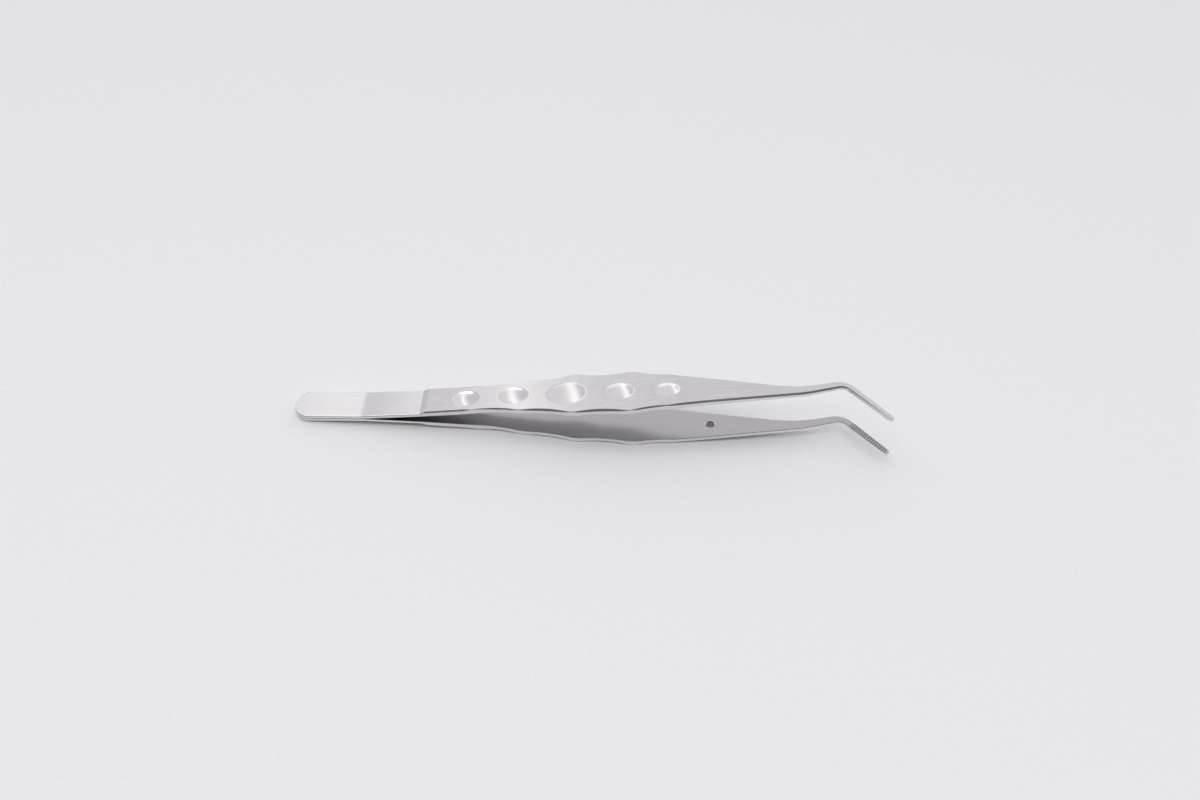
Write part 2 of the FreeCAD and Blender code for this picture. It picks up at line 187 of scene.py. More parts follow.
@dataclass(frozen=True)
class SideView:
    """The arm's long bow, its thickness and its step, seen from the side."""

    opening_angle: float = 3.95
    spring_thickness: float = 0.95
    grip_thickness: float = 1.60
    tip_thickness: float = 1.00
    weld_x: float = 17.5
    weld_radius: float = 14.0
    hump_x: float = 35.0
    hump_height: float = 1.35
    hump_radius: float = 600.0
    step_x: float = 33.1
    step_run: float = 1.10
    step_radius: float = 0.90
    grip_x: float = 58.0
    grip_radius: float = 300.0
    shoulder_x: float = 99.4
    shoulder_radius: float = 240.0
    tip_x: float = 150.0
    tip_rise: float = 3.50
    overrun: float = 3.0

    @property
    def lean(self) -> float:
        """Half of the angle between the arms, in radians."""
        return math.radians(self.opening_angle)

    @property
    def step_end(self) -> float:
        """Where the step's ramp ends."""
        return self.step_x + self.step_run

    @property
    def beak_slope(self) -> float:
        """Rise of the inner face for each millimetre past the shoulder."""
        return self.tip_rise / (self.tip_x - self.shoulder_x)

    def outer_line(self) -> np.ndarray:
        """Draws the outer face's line."""
        weld = self.weld_x * math.tan(self.lean)
        hump = self.spring_thickness + self.hump_height
        slope = (hump - weld - self.spring_thickness) / (self.hump_x - self.weld_x)
        step = weld + slope * (self.step_x - self.weld_x)
        end = self.grip_thickness + self.tip_rise + self.overrun * self.beak_slope - self.tip_thickness
        drop = self.spring_thickness - self.grip_thickness
        return trace(
            [
                Corner(-self.overrun, -self.overrun * math.tan(self.lean)),
                Corner(self.weld_x, weld, self.weld_radius),
                Corner(self.step_x, step, self.step_radius),
                Corner(self.step_end, step + drop, self.step_radius),
                Corner(self.grip_x, 0.0, self.grip_radius),
                Corner(self.shoulder_x, 0.0, self.shoulder_radius),
                Corner(self.tip_x + self.overrun, end),
            ]
        )

    def inner_line(self) -> np.ndarray:
        """Draws the inner face's line."""
        weld = self.weld_x * math.tan(self.lean) + self.spring_thickness
        end = self.grip_thickness + self.tip_rise + self.overrun * self.beak_slope
        return trace(
            [
                Corner(-self.overrun, self.spring_thickness - self.overrun * math.tan(self.lean)),
                Corner(self.weld_x, weld, self.weld_radius),
                Corner(self.hump_x, self.spring_thickness + self.hump_height, self.hump_radius),
                Corner(self.grip_x, self.grip_thickness, self.grip_radius),
                Corner(self.shoulder_x, self.grip_thickness, self.shoulder_radius),
                Corner(self.tip_x + self.overrun, end),
            ]
        )


@dataclass(frozen=True)
class PlanView:
    """The arm's outline seen from above: heel, hollowed grips, neck, bend and beak."""

    heel_half: float = 4.15
    heel_radius: float = 3.735
    crests: tuple = ((45.3, 3.98), (58.6, 4.88), (72.1, 6.33), (86.4, 6.48), (96.7, 5.02))
    crest_softness: float = 2.00
    crest_samples: int = 9
    hollow_radius: float = 45.0
    back_dip: Corner = Corner(127.1, 1.13, 36.0)
    back_bend: Corner = Corner(139.1, 3.57, 5.6)
    front_dip: Corner = Corner(129.3, -0.95, 30.0)
    front_bend: Corner = Corner(138.65, 1.50, 2.5)
    tip_x: float = 150.0
    tip_y: float = -8.0
    tip_width: float = 1.32
    tip_radius: float = 0.55
    tip_angle: float = 45.0

    @property
    def neck(self) -> tuple:
        """Where the hollowed grips end: x and half width."""
        return self.crests[-1]

    def tip(self, edge: Edge) -> np.ndarray:
        """The beak's corner on one edge."""
        angle = math.radians(self.tip_angle)
        back = np.array([self.tip_x, self.tip_y])
        across = np.array([math.sin(angle), math.cos(angle)]) * self.tip_width
        return back if edge is Edge.BACK else back - across

    def half_line(self) -> np.ndarray:
        """Draws the half outline from the heel's nose to the neck."""
        corners = [Corner(0.0, -self.heel_half), Corner(0.0, self.heel_half, self.heel_radius)]
        corners += [Corner(x, half, 0.0, self.hollow_radius) for x, half in self.crests[:-1]]
        corners.append(Corner(*self.neck))
        line = trace(corners)
        return line[line[:, 1] >= 0]

    def half_width(self, along: np.ndarray) -> np.ndarray:
        """Finds the half width from the heel to the neck, with the crests worn a little round.

        The rounding fades in between two and three heel radii, so that the heel keeps its own.
        """
        line = self.half_line()
        soft = self.crest_softness * ramp(along, 2 * self.heel_radius, 3 * self.heel_radius)
        shifts = np.linspace(-1, 1, self.crest_samples)
        return np.mean([level(line, along + soft * shift) for shift in shifts], axis=0)

    def beak_line(self, edge: Edge) -> np.ndarray:
        """Draws one edge from the neck round the bend to the middle of the tip."""
        dip, bend = self.back_dip, self.back_bend
        if edge is Edge.FRONT:
            dip, bend = self.front_dip, self.front_bend
        corner = self.tip(edge)
        middle = (self.tip(Edge.BACK) + self.tip(Edge.FRONT)) / 2
        start = Corner(self.neck[0], self.neck[1] * edge.value)
        return trace([start, dip, bend, Corner(*corner, self.tip_radius), Corner(*middle)])


@dataclass(frozen=True)
class Dimple:
    """One polished oval pressed into the outer face for a fingertip."""

    along: float
    length: float
    width: float
    depth: float = 0.32
    steepness: float = 2.0
    softness: float = 0.05
    settling: float = 12.0
    fade: tuple = (0.95, 1.6)
    rim: tuple = (0.06, 0.05)

    def sink(self, x: np.ndarray, y: np.ndarray) -> tuple:
        """How deep the dimple is at each place, and how far inside its rim the place lies.

        The bowl's rim is softened, and the softening fades out beyond the oval.

        Args:
            x: Distances from the heel.
            y: Distances from the middle line.

        Returns:
            The depth, and a mask that is 1 inside the oval.
        """
        height = self.depth * self.steepness
        spread = math.sqrt(1 - ((height - self.depth) / height) ** 2)
        reach = ((x - self.along) * 2 * spread / self.length) ** 2 + (y * 2 * spread / self.width) ** 2
        bowl = height * np.sqrt(np.clip(1 - reach, 0, 1)) - (height - self.depth)
        soft = (bowl + np.sqrt(bowl * bowl + self.softness**2)) / 2 - self.softness / self.settling
        faded = np.clip(soft, 0, None) * (1 - ramp(reach, *self.fade))
        sunk = np.where(reach < self.fade[1], faded, 0.0)
        return sunk, 1 - ramp(reach, spread**2 - self.rim[0], spread**2 + self.rim[1])


@dataclass(frozen=True)
class Grooves:
    """The leaning finger grooves along both edges, and the plain bevels before and beyond them."""

    radius: float = 38.0
    lean: float = 35.0
    ridge: float = 0.14
    step_bevel: float = 0.32
    neck_bevel: float = 0.42
    heel_edge: float = 0.26
    least: float = 0.08
    heel_roundness: float = 1.0
    bevel_roundness: float = 0.15

    def cut(self, plan: PlanView, step_end: float, line: np.ndarray, outer: np.ndarray) -> tuple:
        """Finds the bevel along one edge.

        Args:
            plan: The arm's outline.
            step_end: Where the step ends and the bevels start.
            line: The edge's points.
            outer: The height of the outer face at each of them.

        Returns:
            The bevel's width across the arm and its depth at each point, and how round it is.
        """
        tilt = math.radians(self.lean)
        place = np.stack([line[:, 0], np.abs(line[:, 1])], axis=1)
        width = np.zeros(len(line))
        for first, last in zip(plan.crests, plan.crests[1:]):
            start, end = np.array(first), np.array(last)
            chord = np.linalg.norm(end - start)
            along = (end - start) / chord
            normal = np.array([-along[1], along[0]])
            beside = place - (start + end) / 2
            wide = self.radius / math.cos(tilt)
            away = wide * math.sqrt(1 - (chord / 2 / self.radius) ** 2) - self.ridge
            reach = away - wide * np.sqrt(np.clip(1 - (beside @ along / self.radius) ** 2, 0, 1))
            inside = (place[:, 0] >= first[0]) & (place[:, 0] < last[0])
            found = beside @ normal - reach - outer * math.tan(tilt)
            width = np.where(inside, np.maximum(0, found), width)
        depth = width / math.tan(tilt)
        beyond = place[:, 0] >= plan.neck[0]
        behind = place[:, 0] < plan.crests[0][0]
        heel = place[:, 0] < step_end
        plain = (beyond, self.neck_bevel), (behind, self.step_bevel), (heel, self.heel_edge)
        for part, size in plain:
            width = np.where(part, size, width)
            depth = np.where(part, size, depth)
        roundness = np.where(heel, self.heel_roundness, self.bevel_roundness)
        return np.maximum(width, self.least), np.maximum(depth, self.least), roundness


@dataclass(frozen=True)
class Serrations:
    """The cross ribs that square-cut files leave on the inner face of the beak."""

    pitch: float = 0.70
    depth: float = 0.18
    start: float = 3.20
    end: float = 0.45

    def middles(self, plan: PlanView) -> tuple:
        """The middles of the bend and of the tip."""
        bends = plan.back_bend, plan.front_bend
        bend = np.array([sum(c.x for c in bends), sum(c.y for c in bends)]) / 2
        return bend, (plan.tip(Edge.BACK) + plan.tip(Edge.FRONT)) / 2

    def count(self, plan: PlanView) -> int:
        """How many files cut the beak."""
        bend, tip = self.middles(plan)
        return int((np.linalg.norm(tip - bend) - self.start - self.end) / self.pitch) + 1

    def recess(self, plan: PlanView, x: np.ndarray, y: np.ndarray) -> np.ndarray:
        """How deep the files' floor lies under the inner face at each place."""
        bend, tip = self.middles(plan)
        along = (tip - bend) / np.linalg.norm(tip - bend)
        reach = (x - bend[0]) * along[0] + (y - bend[1]) * along[1]
        last = self.start + (self.count(plan) - 1) * self.pitch
        rise = np.clip((reach - self.start) / self.depth + 1, 0, 1)
        return self.depth * rise * np.clip((last - reach) / self.depth + 1, 0, 1)


class Signal:
    """A node's output socket that can be used in Python expressions."""

    def __init__(self, graph: "Graph", socket: bpy.types.NodeSocket) -> None:
        """Keeps the graph that the socket belongs to."""
        self.graph = graph
        self.socket = socket

    def _math(self, operation: str, *values: Union["Signal", float]) -> "Signal":
        """Adds one Math node."""
        return self.graph.node("ShaderNodeMath", {"operation": operation}, dict(enumerate(values)))

    def __add__(self, other: Union["Signal", float]) -> "Signal":
        """Sum."""
        return self._math("ADD", self, other)

    def __radd__(self, other: float) -> "Signal":
        """Sum, from the right."""
        return self._math("ADD", other, self)

    def __sub__(self, other: Union["Signal", float]) -> "Signal":
        """Difference."""
        return self._math("SUBTRACT", self, other)

    def __rsub__(self, other: float) -> "Signal":
        """Difference, from the right."""
        return self._math("SUBTRACT", other, self)

    def __mul__(self, other: Union["Signal", float]) -> "Signal":
        """Product."""
        return self._math("MULTIPLY", self, other)

    def __rmul__(self, other: float) -> "Signal":
        """Product, from the right."""
        return self._math("MULTIPLY", other, self)

    def __truediv__(self, other: Union["Signal", float]) -> "Signal":
        """Quotient."""
        return self._math("DIVIDE", self, other)

    def between(self, start: float, end: float) -> "Signal":
        """A smooth mask that is 0 below start and 1 above end."""
        return self.graph.node(
            "ShaderNodeMapRange",
            {"interpolation_type": "SMOOTHSTEP"},
            {"Value": self, "From Min": start, "From Max": end},
        )


Input = Union[Signal, float, tuple]


class Graph:
    """A node tree that is written as expressions."""

    def __init__(self, tree: bpy.types.NodeTree) -> None:
        """Empties the tree and keeps it."""
        self.tree = tree
        tree.nodes.clear()

    def node(self, kind: str, settings: dict, inputs: dict, output: Union[int, str] = 0) -> Signal:
        """Adds a node.

        Args:
            kind: The node's type.
            settings: Its settings.
            inputs: Values or signals for its sockets, by name or number.
            output: The name or number of the output that is returned.

        Returns:
            The chosen output.
        """
        node = self.tree.nodes.new(kind)
        for name, value in settings.items():
            setattr(node, name, value)
        for name, value in inputs.items():
            if isinstance(value, Signal):
                self.tree.links.new(value.socket, node.inputs[name])
            else:
                node.inputs[name].default_value = value
        return Signal(self, node.outputs[output]) if node.outputs else Signal(self, None)

    def mix(self, amount: Input, first: Input, second: Input) -> Signal:
        """Mixes two colours by an amount."""
        return self.node("ShaderNodeMix", {"data_type": "RGBA"}, {0: amount, 6: first, 7: second}, 2)

    def vector(self, x: Input, y: Input, z: Input) -> Signal:
        """A vector from its parts."""
        return self.node("ShaderNodeCombineXYZ", {}, {"X": x, "Y": y, "Z": z})

    def split(self, vector: Signal) -> list:
        """The parts of a vector."""
        parts = self.node("ShaderNodeSeparateXYZ", {}, {"Vector": vector}).socket.node.outputs
        return [Signal(self, part) for part in parts]

    def surface(self, inputs: dict) -> None:
        """Ends a material's tree in one plain shader."""
        shader = self.node("ShaderNodeBsdfPrincipled", {}, inputs)
        self.node("ShaderNodeOutputMaterial", {}, {"Surface": shader})

    def attribute(self, name: str) -> Signal:
        """A number stored on the mesh."""
        return self.node("ShaderNodeAttribute", {"attribute_name": name}, {}, "Fac")

    def grain(self, scale: Sequence[float], detail: float, roughness: float = 0.5) -> Signal:
        """Noise that is stretched by a scale for each axis, in cells a metre.

        Args:
            scale: Cells a metre along x, y and z.
            detail: Octaves.
            roughness: Weight of the finer octaves.

        Returns:
            The noise, about 0.5.
        """
        place = self.node("ShaderNodeTexCoord", {}, {}, "Object")
        turned = self.node("ShaderNodeMapping", {}, {"Vector": place, "Scale": tuple(scale)})
        inputs = {"Vector": turned, "Scale": 1.0, "Detail": detail, "Roughness": roughness}
        return self.node("ShaderNodeTexNoise", {"noise_dimensions": "3D"}, inputs)


def new_material(name: str) -> tuple:
    """Makes an empty material, and returns it with its graph."""
    material = bpy.data.materials.new(name)
    material.use_nodes = True
    return material, Graph(material.node_tree)


@dataclass(frozen=True)
class Steel:
    """Stainless steel brushed along the arms.

    The meshes carry three masks: polish in the bright dimples; wall on the side walls, painted brighter
    as a painted reflection of the lit table; and inside on the faces that the arms turn to each other,
    darker for a duller finish and for painted shade between the arms, deepest in the throat.
    """

    name: str
    light: tuple = (0.71, 0.695, 0.70, 1.0)
    dark: tuple = (0.62, 0.605, 0.62, 1.0)
    # Inner faces: a duller finish, with painted shade between the arms.
    dull_and_shaded: tuple = (0.41, 0.395, 0.415, 1.0)
    # Brighter colour for the polished dimples, and for the painted reflection on the side walls.
    bright: tuple = (0.93, 0.905, 0.895, 1.0)
    roughness: float = 0.20
    polished: float = 0.17
    streak_size: tuple = (40.0, 4200.0, 4200.0)
    fine_size: tuple = (120.0, 11000.0, 11000.0)
    cloud_size: tuple = (60.0, 120.0, 120.0)
    relief: float = 0.15
    relief_height: float = 0.000012
    brushing_shares: tuple = (0.6, 0.4)
    tone_shares: tuple = (0.7, 0.3)
    tone_range: tuple = (0.32, 0.68)
    # Share of the dull colour on the inner faces: duller finish and painted shade.
    inside_dull_and_shade_share: float = 0.7
    polish_share: float = 0.25
    # Share of the bright colour on the walls: painted reflection.
    wall_reflection_share: float = 0.9
    brushing_roughness: float = 0.12
    cloud_roughness: float = 0.06
    polish_flattening: float = 0.8

    def build(self) -> bpy.types.Material:
        """Makes the material."""
        material, graph = new_material(self.name)
        streaks = graph.grain(self.streak_size, 3.0)
        fine = graph.grain(self.fine_size, 2.0)
        clouds = graph.grain(self.cloud_size, 3.0)
        polish = graph.attribute("polish")
        brushing = streaks * self.brushing_shares[0] + fine * self.brushing_shares[1]
        patches = brushing * self.tone_shares[0] + clouds * self.tone_shares[1]
        colour = graph.mix(patches.between(*self.tone_range), self.dark, self.light)
        # Inner faces and ribs: a duller finish and painted shade between the arms, deepest in the
        # throat.
        colour = graph.mix(graph.attribute("inside") * self.inside_dull_and_shade_share, colour, self.dull_and_shaded)
        colour = graph.mix(polish * self.polish_share, colour, self.bright)
        # Side walls painted brighter: a painted reflection of the lit table.
        colour = graph.mix(graph.attribute("wall") * self.wall_reflection_share, colour, self.bright)
        rough = (
            self.roughness
            + (brushing - 0.5) * self.brushing_roughness
            + (clouds - 0.5) * self.cloud_roughness
            - polish * (self.roughness - self.polished)
        )
        height = brushing * (1 - polish * self.polish_flattening)
        relief = {"Strength": self.relief, "Distance": self.relief_height, "Height": height}
        normal = graph.node("ShaderNodeBump", {}, relief)
        graph.surface({"Base Color": colour, "Metallic": 1.0, "Roughness": rough, "Normal": normal})
        return material


@dataclass(frozen=True)
class Paper:
    """Plain pale paper under the pliers."""

    name: str = "pale_paper"
    light: tuple = (0.88, 0.885, 0.89, 1.0)
    dark: tuple = (0.865, 0.87, 0.875, 1.0)
    fibre_size: tuple = (900.0, 900.0, 900.0)
    fibre_range: tuple = (0.35, 0.65)
    roughness: float = 0.85
    shine: float = 0.2

    def build(self) -> bpy.types.Material:
        """Makes the material."""
        material, graph = new_material(self.name)
        fibres = graph.grain(self.fibre_size, 4.0)
        colour = graph.mix(fibres.between(*self.fibre_range), self.dark, self.light)
        shine = {"Roughness": self.roughness, "Specular IOR Level": self.shine}
        graph.surface({"Base Color": colour, **shine})
        return material


def new_object(name: str, mesh: bpy.types.Mesh) -> bpy.types.Object:
    """Links a mesh into the scene as an object at the origin."""
    piece = bpy.data.objects.new(name, mesh)
    bpy.context.scene.collection.objects.link(piece)
    return piece


def apply(piece: bpy.types.Object) -> None:
    """Turns an object with modifiers into a plain mesh, with no modifiers left."""
    graph = bpy.context.evaluated_depsgraph_get()
    mesh = bpy.data.meshes.new_from_object(piece.evaluated_get(graph))
    piece.modifiers.clear()
    piece.data = mesh


def store(mesh: bpy.types.Mesh, name: str, values: np.ndarray) -> None:
    """Stores one number for each point of a mesh, under a name that materials can read."""
    data = mesh.attributes.new(name, "FLOAT", "POINT").data
    data.foreach_set("value", values.reshape(-1).astype(np.float32))


def smooth(mesh: bpy.types.Mesh, angle: float) -> None:
    """Shades a mesh smooth, with sharp edges where its faces meet at more than an angle in degrees."""
    shaped = bmesh.new()
    shaped.from_mesh(mesh)
    limit = math.radians(angle)
    for face in shaped.faces:
        face.smooth = True
    for edge in shaped.edges:
        edge.smooth = len(edge.link_faces) == 2 and edge.calc_face_angle(math.pi) < limit
    shaped.to_mesh(mesh)
    shaped.free()


@dataclass
class Placing:
    """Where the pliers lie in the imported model's frame."""

    side_view: SideView
    plan: PlanView
    shift: Vector = field(init=False)

    def __post_init__(self) -> None:
        """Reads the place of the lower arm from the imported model."""
        lowest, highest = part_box("lower_arm")
        widest = float(self.plan.half_line()[:, 1].max())
        self.shift = Vector((lowest.x / MM, highest.y / MM - widest, lowest.z / MM))

    def mirror(self) -> Matrix:
        """The reflection in the plane that the two arms close on."""
        lean = self.side_view.lean
        normal = Vector((-math.sin(lean), 0, math.cos(lean)))
        raised = Matrix.Translation((0, 0, self.side_view.spring_thickness))
        flip = Matrix.Identity(3)
        for row in range(3):
            for column in range(3):
                flip[row][column] -= 2 * normal[row] * normal[column]
        return raised @ flip.to_4x4() @ raised.inverted()

    def matrix(self, side: Side) -> Matrix:
        """Takes a piece of the lower arm, in millimetres, to its place on an arm, in metres."""
        place = Matrix.Scale(MM, 4) @ Matrix.Translation(self.shift)
        return place @ self.mirror() if side is Side.UPPER else place

    def put(self, mesh: bpy.types.Mesh, side: Side) -> None:
        """Moves a mesh from the lower arm to its place, and turns a reflected one right side out."""
        mesh.transform(self.matrix(side))
        if side is Side.UPPER:
            mesh.flip_normals()
        mesh.update()


@dataclass
class Arm:
    """One arm: a bowed, stepped strip with hollowed grips, dimples, a neck and a bent beak."""

    side: Side
    placing: Placing
    steel: bpy.types.Material
    grooves: Grooves = Grooves()
    serrations: Serrations = Serrations()
    dimples: tuple = (
        Dimple(44.6, 6.2, 4.5),
        Dimple(56.7, 7.5, 5.2),
        Dimple(70.3, 9.6, 6.8),
        Dimple(83.4, 7.5, 5.2),
        Dimple(95.5, 6.2, 4.3),
    )
    split_x: float = 118.0
    inner_edge: float = 0.09
    heel_step: float = 0.7
    grip_step: float = 0.22
    neck_step: float = 0.5
    beak_step: float = 0.13
    beak_span: float = 18.0
    nose_count: int = 26
    bend_count: int = 70
    tip_count: int = 10
    tip_gap: float = 0.12
    step_reach: float = 0.4
    step_clear: float = 0.5
    step_gap: float = 0.02
    step_counts: tuple = (24, 8)
    outer_count: int = 60
    inner_count: int = 16
    wall_count: int = 3
    bevel_count: int = 4
    hole_x: float = 105.6
    hole_diameter: float = 2.05
    hole_edge: float = 0.12
    hole_flare: int = 4
    hole_sides: int = 64
    # Painted reflection on the side walls, as a share of the bright colour.
    painted_wall_reflection: float = 1.0
    bevel_share: float = 0.16
    bevel_depth: float = 0.75
    lip_share: float = 0.2
    # Painted shade in the throat between the arms near the weld: the inner faces darken more there,
    # fading out between these distances from the heel.
    throat: tuple = (38.0, 62.0)
    throat_shade: float = 1.4
    throat_fade: float = 0.4
    crease_angle: float = 24.0

    def stations(self) -> tuple:
        """Finds the two ends of every cross-section, on the back edge and on the front edge.

        Sections stand close together at the nose, at the step, along the grips and round the bend.

        Returns:
            The back points and the front points, in the same number.
        """
        plan = self.placing.plan
        view = self.placing.side_view
        nose = plan.heel_radius
        turns = np.linspace(0, math.pi / 2, self.nose_count)
        before, after = self.step_counts
        along = np.concatenate(
            [
                nose * (1 - np.cos(turns)),
                np.arange(nose + self.heel_step, view.step_x - self.step_clear, self.heel_step),
                np.linspace(view.step_x - self.step_reach, view.step_end - self.step_gap, before),
                np.linspace(view.step_end + self.step_gap, view.step_end + self.step_reach, after),
                np.arange(view.step_end + self.step_clear, plan.neck[0], self.grip_step),
            ]
        )
        width = plan.half_width(along)
        sides = []
        for edge in Edge:
            line = plan.beak_line(edge)
            bend = plan.back_bend if edge is Edge.BACK else plan.front_bend
            steps = np.linalg.norm(np.diff(line, axis=0), axis=1)
            travelled = np.concatenate([[0], np.cumsum(steps)])
            apex = np.argmin(np.linalg.norm(line - np.array([bend.x, bend.y]), axis=1))
            corner = np.argmin(np.linalg.norm(line - plan.tip(edge), axis=1))
            split = np.interp(self.split_x, line[:apex, 0], travelled[:apex])
            places = []
            start = 0.0
            spans = (split, travelled[apex], travelled[corner], travelled[-1])
            counts = (
                int((self.split_x - plan.neck[0]) / self.neck_step),
                self.bend_count,
                int(self.beak_span / self.beak_step),
                self.tip_count,
            )
            for end, count in zip(spans, counts):
                places.append(start + (end - start) * np.arange(count) / count)
                start = end
            distance = np.concatenate(places + [[travelled[-1] - self.tip_gap]])
            found = [np.interp(distance, travelled, line[:, axis]) for axis in (0, 1)]
            beak = np.stack(found, axis=1)
            grip = np.stack([along, width * edge.value], axis=1)
            sides.append(np.concatenate([grip, beak]))
        return sides[0], sides[1]

    def section(self, back: np.ndarray, front: np.ndarray) -> tuple:
        """Draws every cross-section between matching points of the two edges.

        Args:
            back: The points on the back edge.
            front: The points on the front edge.

        Returns:
            The points of all sections in space, and at each of them the masks: polish in the
            dimples, inside on the inner face for a duller finish with painted shade between the arms,
            stronger in the throat, and wall on the walls for their painted reflection.
        """
        view, plan = self.placing.side_view, self.placing.plan
        outer, inner = view.outer_line(), view.inner_line()
        wide = np.linalg.norm(front - back, axis=1)
        cut = self.grooves.cut
        bevels = [cut(plan, view.step_end, line, level(outer, line[:, 0])) for line in (back, front)]
        limit = wide * self.bevel_share
        (back_width, back_depth, roundness), (front_width, front_depth, _) = [
            (np.minimum(eased(width), limit), np.minimum(eased(depth), self.bevel_depth), bend)
            for width, depth, bend in bevels
        ]
        lip = np.minimum(self.inner_edge, wide * self.lip_share)
        zero = np.zeros(len(wide))
        # Where each strip starts: distance across from the back edge, height from a face, and
        # which face that is (0 outer, 1 inner)
        corners = [
            (back_width, zero, 0),
            (wide - front_width, zero, 0),
            (wide, front_depth, 0),
            (wide, -lip, 1),
            (wide - lip, zero, 1),
            (lip, zero, 1),
            (zero, -lip, 1),
            (zero, back_depth, 0),
        ]
        counts = dict.fromkeys(Strip, 1)
        counts.update({Strip.OUTER_FACE: self.outer_count, Strip.INNER_FACE: self.inner_count})
        counts.update(dict.fromkeys(BEVELS, self.bevel_count))
        counts.update(dict.fromkeys(WALLS, self.wall_count))
        across, heights, strips = [], [], []
        for strip, start in zip(Strip, corners):
            end = corners[(strip + 1) % len(corners)]
            for part in np.arange(counts[strip]) / counts[strip]:
                bends = math.sin(part * math.pi / 2), 1 - math.cos(part * math.pi / 2)
                if strip is Strip.BACK_BEVEL:
                    bends = bends[::-1]
                round_here = roundness if strip in BEVELS else zero
                aside, upward = [part + (bend - part) * round_here for bend in bends]
                across.append(start[0] + (end[0] - start[0]) * aside)
                heights.append((start[1] * (1 - upward), end[1] * upward, start[2], end[2], part))
                strips.append(strip)
        across = np.stack(across, axis=1) / wide[:, None]
        plan_points = back[:, None, :] + (front - back)[:, None, :] * across[:, :, None]
        x, y = plan_points[..., 0], plan_points[..., 1]
        z_outer, z_inner = level(outer, x), level(inner, x) - self.serrations.recess(plan, x, y)
        height = np.empty_like(x)
        for column, (first, last, first_face, last_face, part) in enumerate(heights):
            levels = (z_outer[:, column], z_inner[:, column])
            leaving = levels[first_face] * (1 - part) + first
            height[:, column] = leaving + (levels[last_face] * part + last)
        polish = np.zeros_like(x)
        on_outer = np.array([strip is Strip.OUTER_FACE for strip in strips])
        for dimple in self.dimples:
            sunk, mask = dimple.sink(x, y)
            height += np.where(on_outer, sunk, 0)
            polish = np.maximum(polish, np.where(on_outer, mask, 0))
        # The inner face darkens for a duller finish and for painted shade between the arms, deepest in
        # the throat by the weld.
        throat = self.throat_shade - self.throat_fade * ramp(x, *self.throat)
        inside = np.array([strip is Strip.INNER_FACE for strip in strips]) * throat
        # Side walls painted brighter as a painted reflection of the lit table.
        wall = np.zeros_like(x) + np.array([strip in WALLS for strip in strips]) * self.painted_wall_reflection
        masks = {"polish": polish, "inside": inside, "wall": wall}
        return np.stack([x, y, height], axis=-1), masks

    def mesh(self) -> bpy.types.Mesh:
        """Builds the arm's closed mesh on the lower arm's place, in millimetres."""
        points, masks = self.section(*self.stations())
        rows, columns = points.shape[:2]
        numbers = np.arange(rows * columns).reshape(rows, columns)
        onward = np.roll(numbers, -1, axis=1)
        quads = np.stack([numbers[:-1], numbers[1:], onward[1:], onward[:-1]], axis=-1).reshape(-1, 4)
        faces = quads.tolist() + [numbers[0].tolist(), numbers[-1][::-1].tolist()]
        mesh = bpy.data.meshes.new(f"{self.side.value}_arm_mesh")
        mesh.from_pydata(points.reshape(-1, 3).tolist(), [], faces)
        for name, values in masks.items():
            store(mesh, name, values)
        shaped = bmesh.new()
        shaped.from_mesh(mesh)
        bmesh.ops.recalc_face_normals(shaped, faces=shaped.faces)
        shaped.to_mesh(mesh)
        shaped.free()
        return mesh

    def hole_cutter(self) -> bpy.types.Object:
        """Turns the cutter of the guide hole, with the small bevels of its two rims."""
        view = self.placing.side_view
        axis = Vector((-math.sin(view.lean), 0, math.cos(view.lean)))
        onward = Vector((math.cos(view.lean), 0, math.sin(view.lean)))
        crossing = Vector((0, 0, view.spring_thickness)) + onward * self.hole_x
        faces = view.inner_line(), view.outer_line()
        down = [(crossing.z - float(level(face, crossing.x))) / axis.z for face in faces]
        radius, edge, flare = self.hole_diameter / 2, self.hole_edge, self.hole_flare
        rings = [
            (radius + edge * (flare + 1), edge * flare - down[0]),
            (radius, -edge - down[0]),
            (radius, edge - down[1]),
            (radius + edge * (flare + 1), -edge * flare - down[1]),
        ]
        shaped = bmesh.new()
        sideways = Vector((0, 1, 0))
        turns = [2 * math.pi * index / self.hole_sides for index in range(self.hole_sides)]
        loops = []
        for size, height in rings:
            rim = [(onward * math.cos(a) + sideways * math.sin(a)) * size for a in turns]
            loops.append([shaped.verts.new(crossing + axis * height + spoke) for spoke in rim])
        for upper, lower in zip(loops, loops[1:]):
            for index in range(self.hole_sides):
                after = (index + 1) % self.hole_sides
                shaped.faces.new((upper[index], lower[index], lower[after], upper[after]))
        shaped.faces.new(loops[0])
        shaped.faces.new(loops[-1][::-1])
        bmesh.ops.recalc_face_normals(shaped, faces=shaped.faces)
        mesh = bpy.data.meshes.new("hole_cutter_mesh")
        shaped.to_mesh(mesh)
        shaped.free()
        return new_object("hole_cutter", mesh)

    def build(self) -> bpy.types.Object:
        """Builds the arm at its place.

        Returns:
            The finished piece.
        """
        piece = new_object(f"{self.side.value}_arm_steel", self.mesh())
        if self.side is Side.LOWER:
            cutter = self.hole_cutter()
            drill = piece.modifiers.new("guide_hole", "BOOLEAN")
            drill.operation = "DIFFERENCE"
            drill.solver = "EXACT"
            drill.object = cutter
            apply(piece)
            bpy.data.objects.remove(cutter)
        smooth(piece.data, self.crease_angle)
        self.placing.put(piece.data, self.side)
        return piece

    def dress(self, piece: bpy.types.Object) -> None:
        piece.data.materials.clear()
        piece.data.materials.append(self.steel)
        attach(piece, "root")
        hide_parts(f"{self.side.value}_arm")


